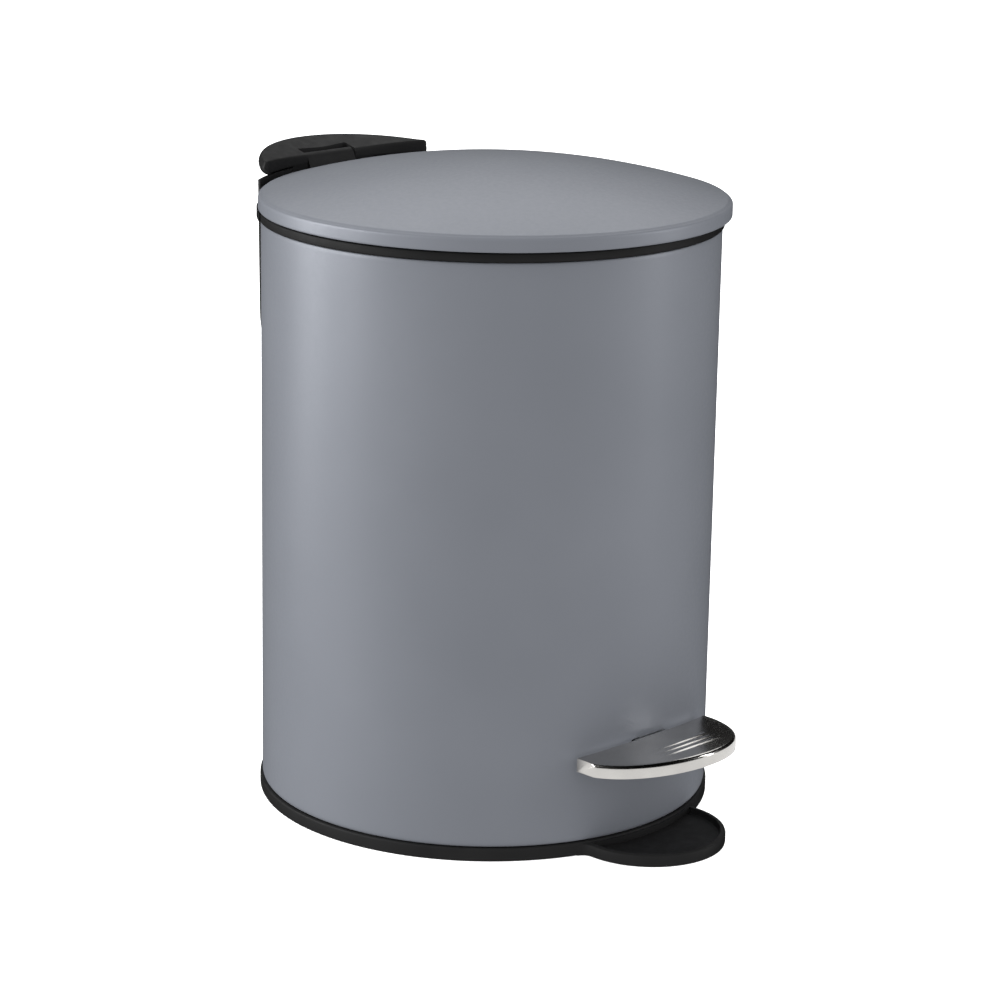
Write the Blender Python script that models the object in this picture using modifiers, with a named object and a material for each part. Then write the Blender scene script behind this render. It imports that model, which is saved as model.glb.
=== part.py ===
"""Small round pedal bin: painted steel body and domed lid, black plastic fittings, steel pedal.

Frame: metres, +Z up, origin on the floor under the body's axis. The pedal is at the front (-Y),
the lid's hinge and the carrying handle are at the back (+Y). At rest the lid is shut.
"""
import math

import bmesh
import bpy
from mathutils import Matrix, Vector

# ---- driving dimensions (metres) ------------------------------------------------------------
GAP = 0.0003                 # air left between pieces that touch
STEPS = 72                   # facets round the body
MERGE = 0.00001

SHEET = 0.0006               # thickness of the body's and the lid's steel
SHELL_R = 0.0850             # outside radius of the body
SHELL_IN = SHELL_R - SHEET
SHELL_BOTTOM, SHELL_TOP = 0.0054, 0.2194
BASE_R, BASE_H = 0.0859, 0.0051            # the base ring that shows under the body
RING_R, RING_TOP = 0.0858, 0.2230          # the black collar over the body's top edge

LID_R, LID_SHIFT = 0.0872, -0.0015         # the lid sits a little forward of the body's axis
LID_BOTTOM, LID_SHOULDER = 0.2236, 0.2289
DOME_H = 0.0130
LINER_LOW, LINER_HIGH = 0.2263, 0.2278

HINGE_Y, HINGE_Z = 0.0905, 0.2310          # lid hinge axis, along X
CRANK_Y, CRANK_Z = 0.0810, 0.2226          # crank pin under the lid's arm
PIN_R = 0.0015

LEVER_Y, LEVER_Z = -0.0450, 0.0333         # pedal lever axis, along X
LEVER_HALF, LEVER_T = 0.0080, 0.0020
LEVER_BAR_Z = 0.0395                       # middle of the bar under the pedal
ROD_Y, ROD_R = 0.0796, 0.0015              # upright push rod behind the bucket
LEVER_TIP_Z = 0.0134                       # middle of the lever's tail at rest

PEDAL_TOP, PEDAL_FLANGE, PEDAL_T = 0.0418, 0.0050, 0.0008
PEDAL_ARC_Y, PEDAL_ARC_R = -0.0789, 0.0364 # front edge of the pedal
PEDAL_BACK_R = 0.0884                      # its back edge follows the body
PEDAL_DROOP = 2.55                         # the tread falls by this times x squared

TAB_Y, TAB_R, TAB_H = -0.0855, 0.0288, 0.0046   # anti-tip foot in front of the base

COVER_IN, COVER_OUT = 0.0883, 0.0893       # rear cover plate
COVER_LOW = 0.1600
HANDLE_LOW = 0.2300                        # underside of the handle's wings
HANDLE_REACH, HANDLE_ARC_Y = 0.1060, 0.0581
HANDLE_HALF = 27.5                         # degrees each side of the back


# ---- scene, collections, materials ----------------------------------------------------------
for old in list(bpy.data.objects):
    bpy.data.objects.remove(old, do_unlink=True)

PARTS = bpy.data.collections.new("pedal_bin")
CUTTERS = bpy.data.collections.new("cutters")
bpy.context.scene.collection.children.link(PARTS)
bpy.context.scene.collection.children.link(CUTTERS)


def material(name, colour, roughness, metallic):
    """A plain Principled finish."""
    mat = bpy.data.materials.new(name)
    mat.use_nodes = True
    shader = mat.node_tree.nodes["Principled BSDF"]
    shader.inputs["Base Color"].default_value = (*colour, 1.0)
    shader.inputs["Roughness"].default_value = roughness
    shader.inputs["Metallic"].default_value = metallic
    return mat


SLATE_PAINT = material("slate_paint", (0.16, 0.18, 0.21), 0.42, 0.55)
BLACK_PLASTIC = material("black_plastic", (0.018, 0.018, 0.019), 0.45, 0.0)
DARK_LINER = material("dark_liner", (0.035, 0.035, 0.038), 0.55, 0.0)
STAINLESS = material("stainless_steel", (0.62, 0.60, 0.57), 0.20, 1.0)
ZINC_STEEL = material("zinc_steel", (0.50, 0.50, 0.49), 0.35, 1.0)
RUBBER = material("grey_rubber", (0.06, 0.06, 0.06), 0.80, 0.0)


# ---- modelling helpers ----------------------------------------------------------------------
def add_mesh(name, mesh, mat=None):
    """Put a mesh in the scene as one named part."""
    obj = bpy.data.objects.new(name, mesh)
    PARTS.objects.link(obj)
    if mat:
        mesh.materials.append(mat)
    return obj


def from_bmesh(name, bm, mat=None):
    """Turn a finished bmesh into a part, with every face looking outwards."""
    bmesh.ops.recalc_face_normals(bm, faces=bm.faces)
    mesh = bpy.data.meshes.new(name)
    bm.to_mesh(mesh)
    bm.free()
    return add_mesh(name, mesh, mat)


def turned(name, profile, mat=None, closed=True, centre_y=0.0):
    """Turn a profile of (radius, height) points about Z."""
    mesh = bpy.data.meshes.new(name)
    verts = [(r, 0.0, z) for r, z in profile]
    edges = [(i, i + 1) for i in range(len(verts) - 1)]
    if closed:
        edges.append((len(verts) - 1, 0))
    mesh.from_pydata(verts, edges, [])
    obj = add_mesh(name, mesh, mat)
    obj.location = (0.0, centre_y, 0.0)
    screw = obj.modifiers.new("turn", 'SCREW')
    screw.axis = 'Z'
    screw.angle = math.tau
    screw.steps = STEPS
    screw.render_steps = STEPS
    screw.use_merge_vertices = True
    screw.merge_threshold = MERGE
    return obj


def box(name, low, high, mat=None):
    """A box between two corners."""
    bm = bmesh.new()
    bmesh.ops.create_cube(bm, size=1.0)
    size = Vector(high) - Vector(low)
    middle = (Vector(high) + Vector(low)) / 2
    place = Matrix.Translation(middle) @ Matrix.Diagonal((*size, 1.0))
    bmesh.ops.transform(bm, verts=bm.verts, matrix=place)
    return from_bmesh(name, bm, mat)


def rod(name, start, end, radius, mat=None, sides=24):
    """A round bar between two points."""
    start, end = Vector(start), Vector(end)
    bm = bmesh.new()
    bmesh.ops.create_cone(bm, cap_ends=True, segments=sides, radius1=radius, radius2=radius,
                          depth=(end - start).length)
    turn = (end - start).to_track_quat('Z', 'Y').to_matrix().to_4x4()
    bmesh.ops.transform(bm, verts=bm.verts, matrix=Matrix.Translation((start + end) / 2) @ turn)
    return from_bmesh(name, bm, mat)


def lofted(name, sections, mat=None):
    """Skin a row of matching sections (lists of 3-D points) and close both ends."""
    bm = bmesh.new()
    rows = [[bm.verts.new(point) for point in section] for section in sections]
    count = len(rows[0])
    for here, there in zip(rows, rows[1:]):
        for k in range(count):
            bm.faces.new((here[k], here[(k + 1) % count], there[(k + 1) % count], there[k]))
    bm.faces.new(rows[0])
    bm.faces.new(rows[-1])
    return from_bmesh(name, bm, mat)


def plate(name, outline, low, high, mat=None, across='Z'):
    """A flat outline given thickness: (x, y) points across Z, (y, z) across X, (x, z) across Y."""
    if across == 'X':
        sections = [[(level, u, v) for u, v in outline] for level in (low, high)]
    elif across == 'Y':
        sections = [[(u, level, v) for u, v in outline] for level in (low, high)]
    else:
        sections = [[(u, v, level) for u, v in outline] for level in (low, high)]
    return lofted(name, sections, mat)


def polar(radius, degrees, height=0.0):
    """A point at an angle from the back (+Y), towards +X."""
    angle = math.radians(degrees)
    return (radius * math.sin(angle), radius * math.cos(angle), height)


def sector(name, profile, start, end, count, mat=None):
    """Sweep a (radius, height) profile round the body's axis between two angles."""
    angles = [start + (end - start) * i / count for i in range(count + 1)]
    return lofted(name, [[polar(r, angle, z) for r, z in profile] for angle in angles], mat)


def combine(obj, tool, operation='DIFFERENCE'):
    """Cut a part with a tool, or join the tool to it. The tool becomes a hidden guide."""
    tool.hide_render = True
    tool.display_type = 'WIRE'
    for collection in list(tool.users_collection):
        collection.objects.unlink(tool)
    CUTTERS.objects.link(tool)
    step = obj.modifiers.new(tool.name, 'BOOLEAN')
    step.operation = operation
    step.object = tool
    return obj


def arc(centre, radius, start, end, count):
    """Points on an arc in a plane; angles in degrees from the plane's first axis."""
    angles = [math.radians(start + (end - start) * i / count) for i in range(count + 1)]
    return [(centre[0] + radius * math.cos(a), centre[1] + radius * math.sin(a)) for a in angles]


def pan_screw(name, seat, tip, radius, head_r=0.0030, head_h=0.0016):
    """A pan-head screw. The head's flat underside is at the seat."""
    seat, tip = Vector(seat), Vector(tip)
    length = (seat - tip).length
    turn = (seat - tip).to_track_quat('Z', 'Y').to_matrix().to_4x4()
    rings = [(radius * 0.6, -length), (radius, -length + 0.0006), (radius, 0.0), (head_r, 0.0),
             (head_r, head_h * 0.5), (head_r * 0.75, head_h)]
    place = Matrix.Translation(seat) @ turn
    sections = []
    for r, z in rings:
        sections.append([place @ Vector((x, y, z)) for x, y in arc((0, 0), r, 0, 342, 19)])
    return lofted(name, sections, ZINC_STEEL)


# ---- base and its anti-tip foot -------------------------------------------------------------
BASE_FLOOR, BASE_WALL_TOP, BASE_WALL = 0.0025, 0.0140, 0.0015
FOOT_PAD_R, FOOT_PAD_H, FOOT_PAD_PLACE = 0.0060, 0.0012, 0.0700
BRACKET_SCREW_Y = 0.0080                   # each side of the lever's axis


def make_base():
    """Moulded base: floor, outer ring, upstand inside the body, and the foot in front."""
    inside = SHELL_IN - GAP
    profile = [(0.0, BASE_FLOOR), (inside - BASE_WALL, BASE_FLOOR), (inside - BASE_WALL, BASE_WALL_TOP),
               (inside, BASE_WALL_TOP), (inside, BASE_H), (BASE_R, BASE_H), (BASE_R, 0.0), (0.0, 0.0)]
    base = turned("base_tray", profile, BLACK_PLASTIC, closed=False)
    tab = rod("tab_disc", (0, TAB_Y, 0.0), (0, TAB_Y, TAB_H), TAB_R, sides=72)
    combine(tab, rod("tab_dish", (0, TAB_Y, 0.0022), (0, TAB_Y, 0.0100), TAB_R - 0.0020, sides=72))
    combine(tab, rod("tab_clear", (0, 0, -0.001), (0, 0, 0.010), inside - 0.0005, sides=STEPS))
    combine(base, tab, 'UNION')
    for i in range(4):
        x, y, _ = polar(FOOT_PAD_PLACE, 45 + 90 * i)
        pocket = rod(f"foot_pocket_{i + 1}", (x, y, -0.001), (x, y, FOOT_PAD_H + GAP), FOOT_PAD_R + GAP)
        combine(base, pocket)
        rod(f"foot_pad_{i + 1}", (x, y, 0.0), (x, y, FOOT_PAD_H), FOOT_PAD_R, RUBBER)
    for place, y in (("front", LEVER_Y - BRACKET_SCREW_Y), ("rear", LEVER_Y + BRACKET_SCREW_Y)):
        combine(base, rod(f"base_hole_{place}", (0, y, 0.0008), (0, y, 0.0040), 0.0018))
    return base


# ---- body shell and the lever's slot --------------------------------------------------------
SLOT_HALF, SLOT_LOW, SLOT_HIGH = 0.0095, 0.0322, 0.0409
COVER_SCREW_ANGLE, COVER_SCREW_Z = 14, 0.1970
SCREW_R, SCREW_HOLE_R = 0.0015, 0.0019


def make_shell():
    """The steel tube, with a slot for the lever and holes for the rear cover's screws."""
    profile = [(SHELL_R, SHELL_TOP), (SHELL_R, SHELL_BOTTOM), (SHELL_IN, SHELL_BOTTOM), (SHELL_IN, SHELL_TOP)]
    shell = turned("outer_shell", profile, SLATE_PAINT)
    combine(shell, box("lever_slot", (-SLOT_HALF, -0.090, SLOT_LOW), (SLOT_HALF, -0.080, SLOT_HIGH)))
    for side, angle in (("left", -COVER_SCREW_ANGLE), ("right", COVER_SCREW_ANGLE)):
        hole = rod(f"shell_hole_{side}", polar(0.080, angle, COVER_SCREW_Z), polar(0.088, angle, COVER_SCREW_Z),
                   SCREW_HOLE_R)
        combine(shell, hole)

    frame = [(SHELL_IN - GAP, 0.0440), (SHELL_IN - GAP, 0.0285), (0.0826, 0.0285), (0.0826, 0.0440)]
    grommet = sector("slot_grommet", frame, 180 - 9, 180 + 9, 6, BLACK_PLASTIC)
    combine(grommet, box("grommet_way", (-SLOT_HALF + GAP, -0.090, SLOT_LOW - 0.001),
                         (SLOT_HALF - GAP, -0.080, SLOT_HIGH + 0.001)))
    return shell


# ---- collar ring and the lid's bumpers ------------------------------------------------------
LEDGE_R, LEDGE_Z, LEDGE_WALL_R = 0.0714, 0.2160, 0.0742
SHELF_Z, SHELF_R, RING_T = 0.2205, 0.0812, 0.0016
RING_NOTCH = 0.0135


def make_ring():
    """The collar that caps the body, hangs the bucket from its ledge and carries the bumpers."""
    inside = SHELL_IN - GAP
    profile = [(SHELF_R, RING_TOP), (RING_R, RING_TOP), (RING_R, SHELL_TOP + GAP), (inside, SHELL_TOP + GAP),
               (inside, 0.2060), (inside - RING_T, 0.2060), (inside - RING_T, SHELF_Z - RING_T),
               (LEDGE_WALL_R + RING_T, SHELF_Z - RING_T), (LEDGE_WALL_R + RING_T, LEDGE_Z - RING_T),
               (LEDGE_R, LEDGE_Z - RING_T), (LEDGE_R, LEDGE_Z), (LEDGE_WALL_R, LEDGE_Z),
               (LEDGE_WALL_R, SHELF_Z), (SHELF_R, SHELF_Z)]
    ring = turned("top_ring", profile, BLACK_PLASTIC)
    combine(ring, box("ring_notch", (-RING_NOTCH, 0.0760, 0.2050), (RING_NOTCH, 0.0900, 0.2245)))
    for place, angle in (("front", 180), ("left", -60), ("right", 60)):
        x, y, _ = polar(0.0777, angle)
        rod(f"lid_bumper_{place}", (x, y, SHELF_Z + GAP), (x, y, LINER_LOW - GAP), 0.0025, RUBBER, sides=16)
    return ring


# ---- lift-out bucket and its bail -----------------------------------------------------------
BUCKET_FLOOR, BUCKET_LIP_Z, BUCKET_WALL = 0.0460, LEDGE_Z + GAP, 0.0015
BUCKET_LOW_R, BUCKET_TOP_R = 0.0665, 0.0711
BAIL_Z, BAIL_R, BAIL_WIRE = 0.2130, 0.0662, 0.0012


def make_bucket():
    """The bucket: a tapered tub with a flat lip that rests on the collar's ledge."""
    lip_top = BUCKET_LIP_Z + BUCKET_WALL
    profile = [(0.0, BUCKET_FLOOR + 0.0016), (BUCKET_LOW_R - BUCKET_WALL, BUCKET_FLOOR + 0.0016),
               (BUCKET_TOP_R - BUCKET_WALL, lip_top), (LEDGE_WALL_R - GAP, lip_top),
               (LEDGE_WALL_R - GAP, BUCKET_LIP_Z), (BUCKET_TOP_R, BUCKET_LIP_Z),
               (BUCKET_LOW_R, BUCKET_FLOOR), (0.0, BUCKET_FLOOR)]
    bucket = turned("inner_bucket", profile, DARK_LINER, closed=False)
    combine(bucket, rod("bail_holes", (-0.080, 0, BAIL_Z), (0.080, 0, BAIL_Z), BAIL_WIRE + 0.0004))
    return bucket


def make_bail():
    """The wire bail folded down inside the front of the bucket's mouth, and its grip sleeve."""
    path = [(-0.0706, 0.0), (-0.0680, 0.0), (-BAIL_R - 0.0005, -0.0005), (-BAIL_R, -0.0017)]
    path += arc((0, 0), BAIL_R, 184, 356, 24)
    path += [(BAIL_R, -0.0017), (BAIL_R + 0.0005, -0.0005), (0.0680, 0.0), (0.0706, 0.0)]
    sections = []
    for i, (x, y) in enumerate(path):
        before, after = path[max(i - 1, 0)], path[min(i + 1, len(path) - 1)]
        along = Vector((after[0] - before[0], after[1] - before[1], 0)).normalized()
        across = Vector((along.y, -along.x, 0))
        ring = arc((0, 0), BAIL_WIRE, 0, 330, 11)
        sections.append([Vector((x, y, BAIL_Z)) + across * u + Vector((0, 0, v)) for u, v in ring])
    lofted("bucket_bail", sections, ZINC_STEEL)

    grip = sector("bail_grip", arc((BAIL_R, BAIL_Z), 0.0024, 0, 330, 11), 162, 198, 8, BLACK_PLASTIC)
    combine(grip, sector("grip_bore", arc((BAIL_R, BAIL_Z), BAIL_WIRE + 0.0004, 0, 330, 11), 158, 202, 12))
    return grip


# ---- carrying handle and hinge pin ----------------------------------------------------------
HINGE_NOTCH, HINGE_NOTCH_BACK = 0.0125, 0.0937
BOSS_HALF, BOSS_LOW, BOSS_BACK = 0.0215, 0.2265, 0.0970
PIN_HALF = 0.0190
HANDLE_SCREW_ANGLE, HANDLE_SCREW_R = 16.5, 0.0928


def handle_reach(degrees):
    """Distance from the body's axis to the handle's rear edge."""
    angle = math.radians(degrees)
    radius = HANDLE_REACH - HANDLE_ARC_Y
    return HANDLE_ARC_Y * math.cos(angle) + math.sqrt(radius ** 2 - (HANDLE_ARC_Y * math.sin(angle)) ** 2)


def handle_section(degrees, shrink=0.0):
    """One upright slice of the handle. Shrink pulls it in towards its middle at the tips."""
    out = min(1.0, abs(degrees) / HANDLE_HALF)
    front = 0.2329 + 0.0023 * out
    back = 0.2380 - 0.0028 * out ** 2
    far = handle_reach(degrees)
    slice_ = [(COVER_IN, HANDLE_LOW + 0.0006), (COVER_IN, front - 0.0006), (COVER_IN + 0.0006, front),
              (far - 0.0020, back), (far - 0.0006, back - 0.0009), (far, back - 0.0027),
              (far - 0.0004, HANDLE_LOW + 0.0022), (far - 0.0014, HANDLE_LOW + 0.0005),
              (far - 0.0026, HANDLE_LOW), (COVER_IN + 0.0006, HANDLE_LOW)]
    middle_r = (COVER_IN + far) / 2
    middle_z = (HANDLE_LOW + back) / 2
    slice_ = [(r + (middle_r - r) * shrink, z + (middle_z - z) * shrink) for r, z in slice_]
    return [polar(r, degrees, z) for r, z in slice_]


def make_handle():
    """Crescent carrying handle behind the lid, with the hinge pin through its middle boss."""
    sections = [handle_section(-HANDLE_HALF - 0.8, 0.40)]
    sections += [handle_section(-HANDLE_HALF + 2 * HANDLE_HALF * i / 24) for i in range(25)]
    sections += [handle_section(HANDLE_HALF + 0.8, 0.40)]
    handle = lofted("carry_handle", sections, BLACK_PLASTIC)
    sweep = math.degrees(math.asin(BOSS_HALF / COVER_IN))
    boss = arc((0, 0), COVER_IN + 0.0001, 90 + sweep, 90 - sweep, 8) + [(BOSS_HALF, BOSS_BACK), (-BOSS_HALF, BOSS_BACK)]
    combine(handle, plate("handle_boss", boss, BOSS_LOW, HANDLE_LOW + 0.0010), 'UNION')
    combine(handle, box("hinge_notch", (-HINGE_NOTCH, 0.080, 0.220), (HINGE_NOTCH, HINGE_NOTCH_BACK, 0.245)))
    bore_half = PIN_HALF + GAP
    combine(handle, rod("pin_bore", (-bore_half, HINGE_Y, HINGE_Z), (bore_half, HINGE_Y, HINGE_Z), PIN_R + GAP))
    for side, angle in (("left", -HANDLE_SCREW_ANGLE), ("right", HANDLE_SCREW_ANGLE)):
        foot = polar(HANDLE_SCREW_R, angle, 0.2250)
        combine(handle, rod(f"handle_hole_{side}", foot, polar(HANDLE_SCREW_R, angle, 0.2348), SCREW_HOLE_R))
        pan_screw(f"handle_screw_{side}", polar(HANDLE_SCREW_R, angle, FLANGE_LOW - GAP),
                  polar(HANDLE_SCREW_R, angle, 0.2342), SCREW_R)
    rod("hinge_pin", (-PIN_HALF, HINGE_Y, HINGE_Z), (PIN_HALF, HINGE_Y, HINGE_Z), PIN_R, ZINC_STEEL)
    return handle


# ---- rear cover and the block it is screwed to ----------------------------------------------
COVER_TOP = HANDLE_LOW - GAP
FLANGE_LOW = COVER_TOP - 0.0015
COVER_HALF_TOP, COVER_HALF_LOW, COVER_CORNER = 0.0492, 0.0475, 0.0200
BAND_R, BAND_LOW = 0.0874, 0.2199
BAND_FADE, BAND_END = 34, 56               # degrees: where the band starts to thin, and where it ends
BLOCK_IN = 0.0816


def band_section(degrees):
    """One slice of the band round the collar, which thins out towards its ends."""
    inner = RING_R + GAP
    fade = min(1.0, max(0.0, (abs(degrees) - BAND_FADE) / (BAND_END - BAND_FADE)))
    outer = inner + (BAND_R - inner) * (0.15 + 0.85 * (1 - fade * fade * (3 - 2 * fade)))
    corners = ((outer, RING_TOP), (outer, BAND_LOW), (inner, BAND_LOW), (inner, RING_TOP))
    return [polar(r, degrees, z) for r, z in corners]


def make_rear_cover():
    """Shield-shaped plate behind the body, with the flange the handle is screwed to."""
    sheet = [(COVER_OUT, COVER_TOP), (COVER_OUT, COVER_LOW), (COVER_IN, COVER_LOW), (COVER_IN, COVER_TOP)]
    cover = sector("rear_cover", sheet, -36, 36, 24, BLACK_PLASTIC)
    corner = (COVER_HALF_LOW - COVER_CORNER, COVER_LOW + COVER_CORNER)
    right = [(COVER_HALF_TOP, 0.2350)] + arc(corner, COVER_CORNER, 0, -88, 8)
    shield = right + [(-x, z) for x, z in reversed(right)]
    combine(cover, plate("shield", shield, 0.060, 0.100, across='Y'), 'INTERSECT')

    far = [polar(handle_reach(angle) - 0.0045, angle) for angle in range(24, -25, -4)]
    near = [polar(COVER_IN + 0.0004, angle) for angle in range(-24, 25, 4)]
    flange = [(x, y) for x, y, _ in near + far]
    combine(cover, plate("cover_flange", flange, FLANGE_LOW, COVER_TOP), 'UNION')
    band = [band_section(BAND_END * i / 24) for i in range(-24, 25)]
    combine(cover, lofted("collar_band", band), 'UNION')
    link = [(COVER_IN + 0.0004, RING_TOP - 0.0004), (COVER_IN + 0.0004, BAND_LOW + 0.0004),
            (BAND_R - 0.0004, BAND_LOW + 0.0004), (BAND_R - 0.0004, RING_TOP - 0.0004)]
    combine(cover, sector("band_link", link, -31, 31, 20), 'UNION')
    for side, angle in (("left", -COVER_SCREW_ANGLE), ("right", COVER_SCREW_ANGLE)):
        z = COVER_SCREW_Z
        boss = rod(f"cover_boss_{side}", polar(SHELL_R + GAP, angle, z), polar(COVER_IN + 0.0004, angle, z), 0.0034)
        combine(cover, boss, 'UNION')
        combine(cover, rod(f"cover_hole_{side}", polar(0.082, angle, z), polar(0.094, angle, z), SCREW_HOLE_R))
        pan_screw(f"cover_screw_{side}", polar(COVER_OUT + GAP, angle, z), polar(0.0818, angle, z), SCREW_R)
        foot = polar(HANDLE_SCREW_R, side_angle(side), FLANGE_LOW - 0.001)
        combine(cover, rod(f"flange_hole_{side}", foot, polar(HANDLE_SCREW_R, side_angle(side), 0.2310), SCREW_HOLE_R))
    combine(cover, box("boss_way", (-BOSS_HALF - 0.0005, 0.080, BOSS_LOW - GAP), (BOSS_HALF + 0.0005, 0.110, 0.235)))
    combine(cover, box("arm_way", (-RING_NOTCH, 0.080, RING_TOP + 0.0006), (RING_NOTCH, 0.110, 0.235)))

    block_profile = [(SHELL_IN - GAP, 0.2040), (SHELL_IN - GAP, 0.1880), (BLOCK_IN, 0.1880), (BLOCK_IN, 0.2040)]
    block = sector("rear_clamp_block", block_profile, -20, 20, 12, BLACK_PLASTIC)
    for side, angle in (("left", -COVER_SCREW_ANGLE), ("right", COVER_SCREW_ANGLE)):
        z = COVER_SCREW_Z
        combine(block, rod(f"block_hole_{side}", polar(0.078, angle, z), polar(0.088, angle, z), SCREW_HOLE_R))
    return cover


def side_angle(side):
    """The handle screw's angle on the left or right."""
    return -HANDLE_SCREW_ANGLE if side == "left" else HANDLE_SCREW_ANGLE


# ---- pedal, lever, bracket ------------------------------------------------------------------
LEVER_PIN_R = 0.0020
HUB_R, HUB_HALF = 0.0045, 0.0084
CHEEK_IN, CHEEK_OUT = 0.0090, 0.0105
RIVET_X, RIVET_Y = 0.0045, -0.0975


def tread_z(x):
    """Height of the pedal's tread, which droops a little towards both ends."""
    return PEDAL_TOP - PEDAL_DROOP * x * x


def pedal_body(name, inset, back_r, top, low, mat=None):
    """A slice for each x, from the back edge to the round front, between two depths below the tread."""
    radius = PEDAL_ARC_R - inset
    sections = []
    for i in range(-20, 21):
        x = radius * math.sin(math.radians(78 * i / 20))
        front = PEDAL_ARC_Y - math.sqrt(radius ** 2 - x ** 2)
        back = -math.sqrt(back_r ** 2 - x ** 2)
        high, deep = tread_z(x) - top, tread_z(x) - low
        sections.append([(x, back, deep), (x, back, high), (x, front, high), (x, front, deep)])
    return lofted(name, sections, mat)


def make_pedal():
    """Pressed steel pedal with its round edge turned down, riveted to the lever."""
    pedal = pedal_body("pedal_plate", 0.0, PEDAL_BACK_R, 0.0, PEDAL_FLANGE, STAINLESS)
    hollow_back = PEDAL_BACK_R - 0.0100
    combine(pedal, pedal_body("pedal_hollow", PEDAL_T, hollow_back, PEDAL_T, PEDAL_FLANGE + 0.0050))
    bar_low = LEVER_BAR_Z - LEVER_T / 2
    for side, x in (("left", -RIVET_X), ("right", RIVET_X)):
        hole = rod(f"pedal_hole_{side}", (x, RIVET_Y, 0.030), (x, RIVET_Y, 0.045), SCREW_HOLE_R, sides=20)
        combine(pedal, hole)
        profile = [(0.0015, PEDAL_TOP - 0.0002), (0.0015, bar_low - GAP), (0.0027, bar_low - GAP),
                   (0.0027, bar_low - 0.0011)]
        rings = [[(x + r * math.cos(a), RIVET_Y + r * math.sin(a), z)
                  for a in [math.tau * k / 20 for k in range(20)]] for r, z in profile]
        lofted(f"pedal_rivet_{side}", rings, ZINC_STEEL)
    return pedal


def make_lever():
    """Bent flat bar from the pedal, in through the slot, to the tail under the push rod."""
    half = LEVER_T / 2
    path = [(-0.1115, LEVER_BAR_Z), (-0.0840, LEVER_BAR_Z), (ROD_Y, LEVER_TIP_Z), (0.0814, LEVER_TIP_Z)]
    outline = [(y, z + half) for y, z in path] + [(y, z - half) for y, z in reversed(path)]
    lever = plate("pedal_lever", outline, -LEVER_HALF, LEVER_HALF, ZINC_STEEL, across='X')
    hub = rod("lever_hub", (-HUB_HALF, LEVER_Y, LEVER_Z), (HUB_HALF, LEVER_Y, LEVER_Z), HUB_R)
    combine(lever, hub, 'UNION')
    bore = rod("lever_bore", (-0.012, LEVER_Y, LEVER_Z), (0.012, LEVER_Y, LEVER_Z), LEVER_PIN_R + GAP)
    combine(lever, bore)
    for side, x in (("left", -RIVET_X), ("right", RIVET_X)):
        combine(lever, rod(f"bar_hole_{side}", (x, RIVET_Y, 0.030), (x, RIVET_Y, 0.045), SCREW_HOLE_R, sides=20))
    return lever


def make_bracket():
    """The U bracket on the base that carries the lever's pin, with its clips and screws."""
    floor = BASE_FLOOR + GAP
    bracket = box("lever_bracket", (-CHEEK_OUT, LEVER_Y - 0.012, floor), (CHEEK_OUT, LEVER_Y + 0.012, floor + 0.0015),
                  ZINC_STEEL)
    cheek = [(LEVER_Y - 0.0110, floor + 0.0002), (LEVER_Y + 0.0110, floor + 0.0002)]
    cheek += arc((LEVER_Y, LEVER_Z), 0.0048, 0, 180, 10)
    for side, sign in (("left", -1), ("right", 1)):
        low_x, high_x = sorted((sign * CHEEK_IN, sign * CHEEK_OUT))
        combine(bracket, plate(f"cheek_{side}", cheek, low_x, high_x, across='X'), 'UNION')
        low_x, high_x = sorted((sign * (CHEEK_OUT + GAP), sign * (CHEEK_OUT + 0.0011)))
        clip = rod(f"pin_clip_{side}", (low_x, LEVER_Y, LEVER_Z), (high_x, LEVER_Y, LEVER_Z), 0.0040, ZINC_STEEL)
        combine(clip, rod(f"clip_hole_{side}", (low_x - 0.001, LEVER_Y, LEVER_Z), (high_x + 0.001, LEVER_Y, LEVER_Z),
                          LEVER_PIN_R + GAP))
    combine(bracket, rod("bracket_bore", (-0.013, LEVER_Y, LEVER_Z), (0.013, LEVER_Y, LEVER_Z), LEVER_PIN_R + GAP))
    rod("lever_pin", (-0.0125, LEVER_Y, LEVER_Z), (0.0125, LEVER_Y, LEVER_Z), LEVER_PIN_R, ZINC_STEEL)
    for place, y in (("front", LEVER_Y - BRACKET_SCREW_Y), ("rear", LEVER_Y + BRACKET_SCREW_Y)):
        combine(bracket, rod(f"bracket_hole_{place}", (0, y, 0.001), (0, y, 0.006), SCREW_HOLE_R))
        pan_screw(f"bracket_screw_{place}", (0, y, floor + 0.0015 + GAP), (0, y, 0.0011), 0.0014)
    return bracket


# ---- push rod and its guides ----------------------------------------------------------------
CAP_LOW, CAP_TOP, CAP_R = 0.2140, 0.2205, 0.0028
FOOT_LOW, FOOT_TOP = 0.0151, 0.0200


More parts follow.
